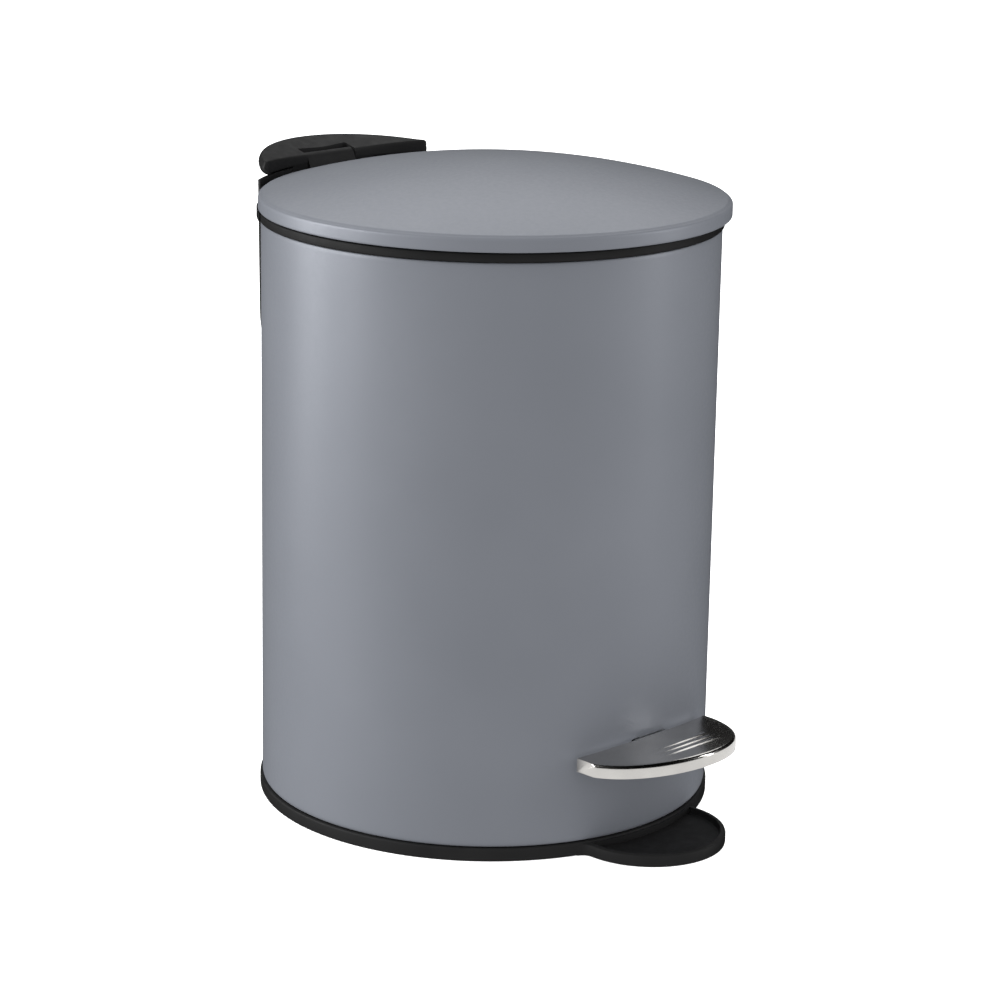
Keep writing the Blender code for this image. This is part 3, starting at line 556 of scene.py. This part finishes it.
def make_collar():
    top = ring_high.z
    corners = [(SHELF_R, top), (ring_high.x, top), (ring_high.x, shell_high.z + 0.3 * MM),
               (COLLAR_IN, shell_high.z + 0.3 * MM), (COLLAR_IN, ring_low.z),
               (COLLAR_IN - 1.5 * MM, ring_low.z), (COLLAR_IN - 1.5 * MM, SHELF_Z - COLLAR_T),
               (LEDGE_WALL + COLLAR_T, SHELF_Z - COLLAR_T), (LEDGE_WALL + COLLAR_T, LEDGE_Z - COLLAR_T),
               (LEDGE_R, LEDGE_Z - COLLAR_T), (LEDGE_R, LEDGE_Z), (LEDGE_WALL, LEDGE_Z),
               (LEDGE_WALL, SHELF_Z), (SHELF_R, SHELF_Z)]
    radii = [0.5, 0.7, 0.5, 0.1, 0.1, 0.3, 0.3, 0.3, 0.5, 0.4, 0.4, 0.3, 0.5, 0.3]
    collar = spun("collar", softened(corners, [r * MM for r in radii], 3), steps=192)
    carve(collar, block("notch", (-RING_NOTCH, 76 * MM, 205 * MM), (RING_NOTCH, 90 * MM, 224.5 * MM)))
    return collar


dress(make_collar(), BLACK, "body", "black_plastic", "top_ring")

# %% [markdown]
# ## Base and its foot
#
# The base is one moulding: a ring under the body and, in front, a shallow round foot that stops the bin
# tipping when the pedal is pressed. The foot flows into the ring with small hollow fillets, and a
# raised lip runs round its dished top. The outline is worked out from circles that touch each other.

# %% Base and its foot
TAB_R = 28.8 * MM
TAB_Y = base_low.y + TAB_R
TAB_H, TAB_FLOOR, TAB_LIP = 4.6 * MM, 2.3 * MM, 2.1 * MM
TAB_FILLET = 5.0 * MM
BASE_R, BASE_H = base_high.x, 5.1 * MM
BASE_FLOOR, UPSTAND_TOP, UPSTAND = 2.5 * MM, 14.0 * MM, 1.5 * MM


def touching(fillet):
    """Centre of a circle that touches the base ring and the foot from outside, on the +X side."""
    a, b, d = BASE_R + fillet, TAB_R + fillet, -TAB_Y
    down = (a * a - b * b + d * d) / (2 * d)
    return Vector((math.sqrt(a * a - down * down), -down))


def foot_outline():
    """The foot seen from above, with its fillets, closed through the inside of the base."""
    hollow = touching(TAB_FILLET)
    to_ring = math.degrees(math.atan2(-hollow.y, -hollow.x))
    to_foot = math.degrees(math.atan2(TAB_Y - hollow.y, -hollow.x))
    if to_ring - to_foot > 180:
        to_foot += 360
    fillet = arc(hollow, TAB_FILLET, to_ring, to_foot, 8)
    start = math.degrees(math.atan2(hollow.y - TAB_Y, hollow.x))
    nose = arc((0, TAB_Y), TAB_R, start, -180 - start, 48)
    other = [(-x, y) for x, y in reversed(fillet)]
    inside = arc((0, 0), BASE_R - 4 * MM, -90 - 25, -90 + 25, 12)
    return fillet[:-1] + nose + other[1:] + inside


def scaled(outline, inset):
    """The outline drawn in a little towards the foot's middle."""
    grow = 1 - inset / TAB_R
    return [(x * grow, TAB_Y + (y - TAB_Y) * grow) for x, y in outline]


def make_base():
    ring = COLLAR_IN
    corners = [(0, BASE_FLOOR), (ring - UPSTAND, BASE_FLOOR), (ring - UPSTAND, UPSTAND_TOP),
               (ring, UPSTAND_TOP), (ring, BASE_H), (BASE_R, BASE_H), (BASE_R, 0), (0, 0)]
    radii = [0, 0.8, 0.3, 0.3, 0, 0.8, 0.9, 0]
    base = spun("base", softened(corners, [r * MM for r in radii], 4), steps=192)
    outline = foot_outline()
    levels = [(0.7 * MM, 0.0), (0.15 * MM, 0.2 * MM), (0.0, 0.8 * MM), (0.0, TAB_H - 1.0 * MM),
              (0.25 * MM, TAB_H - 0.3 * MM), (0.9 * MM, TAB_H)]
    foot = skinned("foot", [[(x, y, z) for x, y in scaled(outline, inset)] for inset, z in levels])
    dish_r = TAB_R - TAB_LIP
    wall = BASE_R + 0.9 * MM
    half = math.degrees(math.acos((wall ** 2 + TAB_Y ** 2 - dish_r ** 2) / (2 * wall * -TAB_Y)))
    corner = polar(wall, 180 - half)
    meet = math.degrees(math.atan2(corner.y - TAB_Y, corner.x))
    nose = arc((0, TAB_Y), dish_r, meet, -180 - meet, 40)
    back = arc((0, 0), wall, -90 - half, -90 + half, 20)
    dish = nose + back[1:-1]
    slopes = [(0.9 * MM, TAB_FLOOR), (0.3 * MM, TAB_FLOOR + 0.35 * MM), (0.0, TAB_FLOOR + 1.2 * MM),
              (-0.5 * MM, TAB_H + 1 * MM)]
    carve(foot, skinned("dish", [[(x, y, z) for x, y in scaled(dish, inset)] for inset, z in slopes]))
    carve(foot, bar("inside", (0, 0, -1 * MM), (0, 0, 10 * MM), BASE_R - 3 * MM, 96))
    carve(base, foot, 'UNION')
    for i in range(4):
        x, y, _ = polar(70 * MM, 45 + 90 * i)
        carve(base, bar("pocket", (x, y, -1 * MM), (x, y, 1.5 * MM), 6.3 * MM))
    return base


dress(make_base(), BLACK, "body", "black_plastic", "base_tray")

# %% [markdown]
# ## Carrying handle
#
# The handle is a solid crescent that lies close round the back of the lid. Its section changes along
# the sweep, so it is skinned from many slices: flat and sloping on top, with a soft rear nose, and
# drawn in at the tips like the end of a spoon. A notch in the middle leaves room for the hinge.

# %% Carrying handle
HANDLE_IN = 88.3 * MM
HANDLE_UNDER = 230.0 * MM
HANDLE_ARC_Y = 58.1 * MM
HANDLE_HALF = 27.5
HINGE_NOTCH, NOTCH_BACK = 12.5 * MM, 93.7 * MM
BOSS_HALF, BOSS_BACK = 21.5 * MM, 97.0 * MM


def handle_reach(degrees):
    """Distance from the bin's axis to the handle's rear edge."""
    angle = math.radians(degrees)
    radius = handle_high.y - HANDLE_ARC_Y
    return HANDLE_ARC_Y * math.cos(angle) + math.sqrt(radius ** 2 - (HANDLE_ARC_Y * math.sin(angle)) ** 2)


def handle_slice(degrees, shrink=0.0):
    """An upright slice of the handle, drawn in towards its middle by shrink."""
    out = min(1.0, abs(degrees) / HANDLE_HALF)
    near, far = HANDLE_IN, handle_reach(degrees)
    front, rear = 232.9 * MM + 2.3 * MM * out, handle_high.z - 2.8 * MM * out ** 2
    corners = [(near, HANDLE_UNDER), (near, front), (far - 1.5 * MM, rear), (far, rear - 2.6 * MM),
               (far - 1.2 * MM, HANDLE_UNDER + 0.3 * MM), (far - 3.5 * MM, HANDLE_UNDER)]
    radii = [0.8 * MM, 0.9 * MM, 2.2 * MM, 2.6 * MM, 1.6 * MM, 1.5 * MM]
    outline = softened(corners, radii, 5)
    middle = Vector(((near + far) / 2, (HANDLE_UNDER + rear) / 2 + 0.3 * MM))
    return [polar(r + (middle.x - r) * shrink, degrees, z + (middle.y - z) * shrink) for r, z in outline]


def make_handle():
    stations = [HANDLE_HALF * i / 40 for i in range(-40, 41)]
    turns = [math.radians(15 * i) for i in range(1, 7)]
    tips = [(HANDLE_HALF + 0.8 * math.sin(t), 0.9 * (1 - math.cos(t))) for t in turns]
    slices = [handle_slice(-angle, shrink) for angle, shrink in reversed(tips)]
    slices += [handle_slice(angle) for angle in stations]
    slices += [handle_slice(angle, shrink) for angle, shrink in tips]
    handle = skinned("handle", slices)
    front = [polar(HANDLE_IN + 0.1 * MM, angle) for angle in range(-14, 15, 2)]
    outline = [(p.x, p.y) for p in front] + [(BOSS_HALF, BOSS_BACK), (-BOSS_HALF, BOSS_BACK)]
    outline = softened(outline, [0.8 * MM if i in (0, 14, 15, 16) else 0.0 for i in range(len(outline))], 4)
    boss = skinned("boss", [[(x, y, z) for x, y in outline] for z in (handle_low.z, HANDLE_UNDER + 1 * MM)])
    carve(handle, boss, 'UNION')
    corners = [(-HINGE_NOTCH, 80 * MM), (HINGE_NOTCH, 80 * MM), (HINGE_NOTCH, NOTCH_BACK),
               (-HINGE_NOTCH, NOTCH_BACK)]
    outline = softened(corners, 0.8 * MM, 4)
    carve(handle, skinned("notch", [[(x, y, z) for x, y in outline] for z in (220 * MM, 245 * MM)]))
    bore = pin_high.x + 0.3 * MM
    carve(handle, bar("bore", (-bore, HINGE.y, HINGE.z), (bore, HINGE.y, HINGE.z), 1.8 * MM))
    return handle


dress(make_handle(), BLACK, "body", "black_plastic", "carry_handle")

# %% [markdown]
# ## Hinge arm
#
# The lid turns on one wide arm. Its knuckle fills the handle's notch, so that the handle looks whole
# when the lid is shut, and a crank hangs below it for the push rod. Only the knuckle is a little
# fuller than in the working model, and it still clears the notch all the way round its swing.

# %% Hinge arm
ARM_HALF, KNUCKLE_R, ARM_T = 12.0 * MM, 2.9 * MM, 1.5 * MM
CHEEK_IN, CHEEK_OUT, CHEEK_R = 5.0 * MM, 8.0 * MM, 2.6 * MM
arm_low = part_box("lid_hinge_arm")[0]
crank_low, crank_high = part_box("crank_pin")
CRANK = (crank_low + crank_high) / 2


def across(name, outline, low, high):
    """A (y, z) outline given thickness along X."""
    return skinned(name, [[(x, y, z) for y, z in outline] for x in (low, high)])


def make_hinge_arm():
    seat, root = liner_high.z + 0.3 * MM, HINGE.y - 18.5 * MM
    outline = [(arm_low.y, seat), (root, seat), (root, seat - 3.5 * MM),
               (HINGE.y - 4.0 * MM, seat - 3.5 * MM), (HINGE.y - 1.3 * MM, HINGE.z - 2.6 * MM)]
    outline += arc((HINGE.y, HINGE.z), KNUCKLE_R, -100, 165, 24)
    outline += [(HINGE.y - 4.2 * MM, HINGE.z - 2.7 * MM), (HINGE.y - 10.5 * MM, HINGE.z - 2.0 * MM),
                (HINGE.y - 14.5 * MM, seat + ARM_T), (arm_low.y, seat + ARM_T)]
    arm = across("hinge_arm", outline, -ARM_HALF, ARM_HALF)
    cheek = arc((CRANK.y, CRANK.z), CHEEK_R, 180, 360, 16)
    cheek += [(CRANK.y + 2.8 * MM, CRANK.z + 2.4 * MM), (CRANK.y - 2.8 * MM, CRANK.z + 2.4 * MM)]
    for sign in (-1, 1):
        near, far = sorted((sign * CHEEK_IN, sign * CHEEK_OUT))
        carve(arm, across("cheek", cheek, near, far), 'UNION')
        x, y = sign * 7.0 * MM, 65.5 * MM
        carve(arm, bar("hole", (x, y, 0.224), (x, y, 0.232), 1.6 * MM))
    carve(arm, block("gap", (-CHEEK_IN, CRANK.y - 5.5 * MM, 0.218),
                     (CHEEK_IN, CRANK.y + 5.6 * MM, CRANK.z + 3 * MM)))
    for middle, reach in ((HINGE, 14 * MM), (CRANK, 9 * MM)):
        carve(arm, bar("bore", (-reach, middle.y, middle.z), (reach, middle.y, middle.z), 1.8 * MM))
    round_edges(arm, 0.25 * MM)
    return arm


dress(make_hinge_arm(), BLACK, "lid", "black_plastic", "lid_hinge_arm")

# %% [markdown]
# ## Pedal
#
# The pedal is pressed from one sheet of stainless steel. Its round edge is folded down and its tread
# droops a little towards both ends, so it is skinned from slices across the bin, each with the fold's
# true radius, and then hollowed from below. Three soft grip ridges are pressed up in the tread.

# %% Pedal
PEDAL_ARC_R = 36.4 * MM
PEDAL_ARC_Y = pedal_low.y + PEDAL_ARC_R
PEDAL_BACK_R, PEDAL_DROOP, PEDAL_FLANGE = 88.4 * MM, 2.55, 5.0 * MM
PEDAL_SHEET, FOLD_R = 0.8 * MM, 1.3 * MM
RIDGES = (100.5 * MM, 103.5 * MM, 106.5 * MM)
RIDGE_H, RIDGE_WIDE, RIDGE_HALF = 0.28 * MM, 0.70 * MM, 9.5
PEDAL_SWEEP, TREAD_STEPS = 80, 60


def tread_z(x):
    """Height of the tread, which droops a little towards both ends."""
    return pedal_high.z - PEDAL_DROOP * x * x


def ridge_z(x, y):
    """How far the grip ridges rise above the tread. They follow the body and fade at their ends."""
    radius, angle = math.hypot(x, y), math.degrees(math.atan2(x, -y))
    fade = max(0.0, 1 - (angle / RIDGE_HALF) ** 4)
    return sum(RIDGE_H * fade * math.exp(-((radius - ring) / RIDGE_WIDE) ** 2) for ring in RIDGES)


def pedal_slice(x, radius, back_r, layers, ridged):
    """Points round one slice of the pedal. Layers are pairs of inset and depth, from low to high."""
    edge = [(-math.sqrt(max((radius - inset) ** 2 - x ** 2, 0.0)), depth) for inset, depth in layers]
    points = [(x, PEDAL_ARC_Y + y, tread_z(x) - depth) for y, depth in edge]
    front, back = points[-1][1], -math.sqrt(back_r ** 2 - x ** 2)
    for i in range(1, TREAD_STEPS + 1):
        y = front + (back - front) * i / TREAD_STEPS
        rise = ridge_z(x, y) if ridged else 0.0
        points.append((x, y, points[len(edge) - 1][2] + rise))
    return points + [(x, back, points[0][2])]


def pedal_solid(name, inset, back_r, layers, ridged=False):
    """Skin slices from one end of the pedal to the other, closer together towards the round ends."""
    radius = PEDAL_ARC_R - inset
    reach = radius - layers[-1][0]
    stations = [reach * math.sin(math.radians(PEDAL_SWEEP * i / 70)) for i in range(-70, 71)]
    return skinned(name, [pedal_slice(x, radius, back_r, layers, ridged) for x in stations])


def make_pedal():
    folds = [(FOLD_R * (1 - math.cos(math.radians(a))), FOLD_R * (1 - math.sin(math.radians(a))))
             for a in range(0, 91, 15)]
    outside = [(0.15 * MM, PEDAL_FLANGE), (0.0, PEDAL_FLANGE - 0.25 * MM)] + folds
    pedal = pedal_solid("pedal", 0.0, PEDAL_BACK_R, outside, ridged=True)
    inside = [(0.0, PEDAL_FLANGE + 5 * MM), (0.0, 1.8 * MM), (0.3 * MM, 1.1 * MM), (0.9 * MM, PEDAL_SHEET)]
    return carve(pedal, pedal_solid("hollow", PEDAL_SHEET, PEDAL_BACK_R - 10 * MM, inside))


pedal = make_pedal()
dress(pedal, STEEL, "pedal", "stainless_steel", "pedal_plate")
MIRRORED.objects.link(pedal)

# %% [markdown]
# ## Bucket and bail
#
# The lift-out bucket tapers so that it slips out easily. It is moulded with a flat hanging lip, a step
# above the floor and a rounded bottom corner. Its wire bail lies folded inside the mouth.

# %% Bucket and bail
BUCKET_WALL = 1.5 * MM
BAIL_Z, BAIL_R, BAIL_WIRE = 213.0 * MM, 66.2 * MM, 1.2 * MM


def make_bucket():
    floor_z, top = bucket_low.z, bucket_high.z
    low_r, lip_r = 66.5 * MM, bucket_high.x
    corners = [(0, floor_z + 1.6 * MM), (low_r - BUCKET_WALL, floor_z + 1.6 * MM), (69.6 * MM, top),
               (lip_r, top), (lip_r, top - 1.5 * MM), (71.1 * MM, top - 1.5 * MM), (low_r, floor_z),
               (0, floor_z)]
    radii = [0, 5.0, 0.6, 0.5, 0.5, 0.3, 6.0, 0]
    bucket = spun("bucket", softened(corners, [r * MM for r in radii], 6), steps=160)
    carve(bucket, bar("holes", (-0.080, 0, BAIL_Z), (0.080, 0, BAIL_Z), 1.6 * MM))
    return bucket


def make_bail():
    path = [(-70.6 * MM, 0), (-68.2 * MM, 0), (-67.0 * MM, -0.5 * MM), (-66.3 * MM, -1.8 * MM)]
    path += arc((0, 0), BAIL_R, 184, 356, 48)
    path += [(-x, y) for x, y in reversed(path[:4])]
    sections = []
    for i, (x, y) in enumerate(path):
        before, after = path[max(i - 1, 0)], path[min(i + 1, len(path) - 1)]
        along = Vector((after[0] - before[0], after[1] - before[1], 0)).normalized()
        across = Vector((along.y, -along.x, 0))
        ring = arc((0, 0), BAIL_WIRE, 0, 345, 23)
        sections.append([Vector((x, y, BAIL_Z)) + across * u + Vector((0, 0, v)) for u, v in ring])
    return skinned("bail", sections)


def make_grip():
    """The bail's plastic sleeve, with a shallow waist between each pair of finger ridges."""
    sections = []
    for i in range(73):
        t = i / 72
        radius = (2.15 + 0.25 * abs(math.sin(math.pi * 6 * t))) * MM
        radius *= min(1.0, 0.8 + 6 * min(t, 1 - t))
        sections.append([polar(r, 162 + 36 * t, z) for r, z in arc((BAIL_R, BAIL_Z), radius, 0, 345, 23)])
    grip = skinned("bail_sleeve", sections)
    hole = arc((BAIL_R, BAIL_Z), 1.6 * MM, 0, 345, 23)
    bore = [[polar(r, angle, z) for r, z in hole] for angle in range(158, 203, 2)]
    return carve(grip, skinned("bore", bore))


dress(make_bucket(), DARK, "body", "dark_liner", "inner_bucket")
dress(make_bail(), ZINC, "body", "zinc_steel", "bucket_bail")
dress(make_grip(), BLACK, "body", "black_plastic", "bail_grip")

# %% [markdown]
# ## Lid liner
#
# A plastic plate closes the lid from below. It shows when the lid is up, so it gets what such a
# moulding has: a skirt round the edge, two raised rings and stiffening ribs between them.

# %% Lid liner
RIB_IN, RIB_OUT, RIB_H = 22.0 * MM, 58.0 * MM, 0.9 * MM


def make_liner():
    rim = liner_high.x
    top = liner_high.z
    low = top - 1.5 * MM
    skirt = liner_low.z
    corners = [(0, top), (rim, top), (rim, skirt), (rim - 1.5 * MM, skirt), (rim - 1.5 * MM, low)]
    for middle in (RIB_OUT, RIB_IN):
        corners += [(middle + 1 * MM, low), (middle + 1 * MM, low - RIB_H), (middle - 1 * MM, low - RIB_H),
                    (middle - 1 * MM, low)]
    corners.append((0, low))
    liner = spun("liner", softened(corners, [0] + [0.35 * MM] * 12 + [0], 3), LID_Y, 160)
    for k in range(8):
        turn = Matrix.Rotation(math.radians(22.5 + 45 * k), 3, 'Z')
        section = [(-0.9 * MM, low + 0.5 * MM), (-0.6 * MM, low - RIB_H), (0.6 * MM, low - RIB_H),
                   (0.9 * MM, low + 0.5 * MM)]
        section = softened(section, [0, 0.25 * MM, 0.25 * MM, 0], 3)
        rows = [[turn @ Vector((x, r, z)) + Vector((0, LID_Y, 0)) for x, z in section]
                for r in (RIB_IN, RIB_OUT)]
        carve(liner, skinned("rib", rows), 'UNION')
    carve(liner, block("notch", (-ARM_NOTCH, 71.5 * MM, 220 * MM), (ARM_NOTCH, 90 * MM, 230 * MM)))
    return liner


dress(make_liner(), DARK, "lid", "dark_liner", "lid_liner")

# %% [markdown]
# ## Screws
#
# Eight pan-head screws hold the bin together. One function makes them all: a domed head with a cross
# recess and a plain shank, built upright and then turned to face the way each real screw does.

# %% Screws
def make_screw(name, seat, out, shank_r, length, head_r, head_h):
    turns = [math.radians(a) for a in range(0, 91, 15)]
    crown = [(head_r * math.cos(a), head_h * (0.35 + 0.65 * math.sin(a))) for a in turns]
    crown[-1] = (0.0, head_h)
    profile = [(0, -length), (shank_r * 0.5, -length), (shank_r, -length + 0.8 * MM), (shank_r, 0),
               (head_r, 0)] + crown
    screw = spun(name, profile, steps=48)
    slot, deep = head_r * 0.13, head_h * 0.45
    for half in ((head_r * 0.6, slot), (slot, head_r * 0.6)):
        carve(screw, block("cross", (-half[0], -half[1], deep), (half[0], half[1], head_h * 2)))
    turn = Vector(out).to_track_quat('Z', 'Y').to_matrix().to_4x4()
    screw.data.transform(Matrix.Translation(seat) @ turn)
    return screw


def screw_for(node, body, out, shank_r, head_h):
    """A detailed screw in the place of one of the model's plain ones."""
    low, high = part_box(node)
    out = Vector(out)
    middle = (low + high) / 2
    if abs(out.z) > 0.5:
        head_r = (high.x - low.x) / 2
        end = high.z if out.z > 0 else low.z
        seat = Vector((middle.x, middle.y, end - out.z * head_h))
        length = high.z - low.z - head_h
    else:
        head_r = (high.z - low.z) / 2
        seat = out * (89.6 * MM)
        seat.z = middle.z
        length = 7.8 * MM
    piece = make_screw(node + "_detailed", seat, out, shank_r, length, head_r, head_h)
    dress(piece, ZINC, body, "zinc_steel", node)


for side, angle in (("left", -COVER_SCREW_ANGLE), ("right", COVER_SCREW_ANGLE)):
    screw_for(f"cover_screw_{side}", "body", polar(1.0, angle), 1.5 * MM, 1.6 * MM)
    screw_for(f"handle_screw_{side}", "body", (0, 0, -1), 1.5 * MM, 1.6 * MM)
    screw_for(f"arm_screw_{side}", "lid", (0, 0, -1), 1.2 * MM, 1.3 * MM)
for place in ("front", "rear"):
    screw_for(f"bracket_screw_{place}", "body", (0, 0, 1), 1.4 * MM, 1.6 * MM)

# %% [markdown]
# ## Parts that keep their shape
#
# The remaining parts already have the right shape. They keep it, get their edges broken by a bevel
# modifier and take the finish of what they are made of.

# %% Parts that keep their shape
KEPT = [
    # finish, edge radius, parts
    (BLACK, 0.25 * MM, ("rear_cover", "rear_clamp_block", "slot_grommet", "rod_cap", "rod_foot",
                        "rod_guide_lower", "rod_guide_upper")),
    (ZINC, 0.20 * MM, ("hinge_pin", "crank_pin", "lever_pin", "pin_clip_left", "pin_clip_right",
                       "lever_bracket", "pedal_lever", "pedal_rivet_left", "pedal_rivet_right",
                       "push_rod")),
    (RUBBER, 0.30 * MM, ("foot_pad_1", "foot_pad_2", "foot_pad_3", "foot_pad_4", "lid_bumper_front",
                         "lid_bumper_left", "lid_bumper_right")),
]
for material, edge, names in KEPT:
    for name in names:
        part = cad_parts[name]
        for slot in part.material_slots:
            slot.material = material
        round_edges(part, edge)
print("kept parts:", sum(len(names) for _, _, names in KEPT))
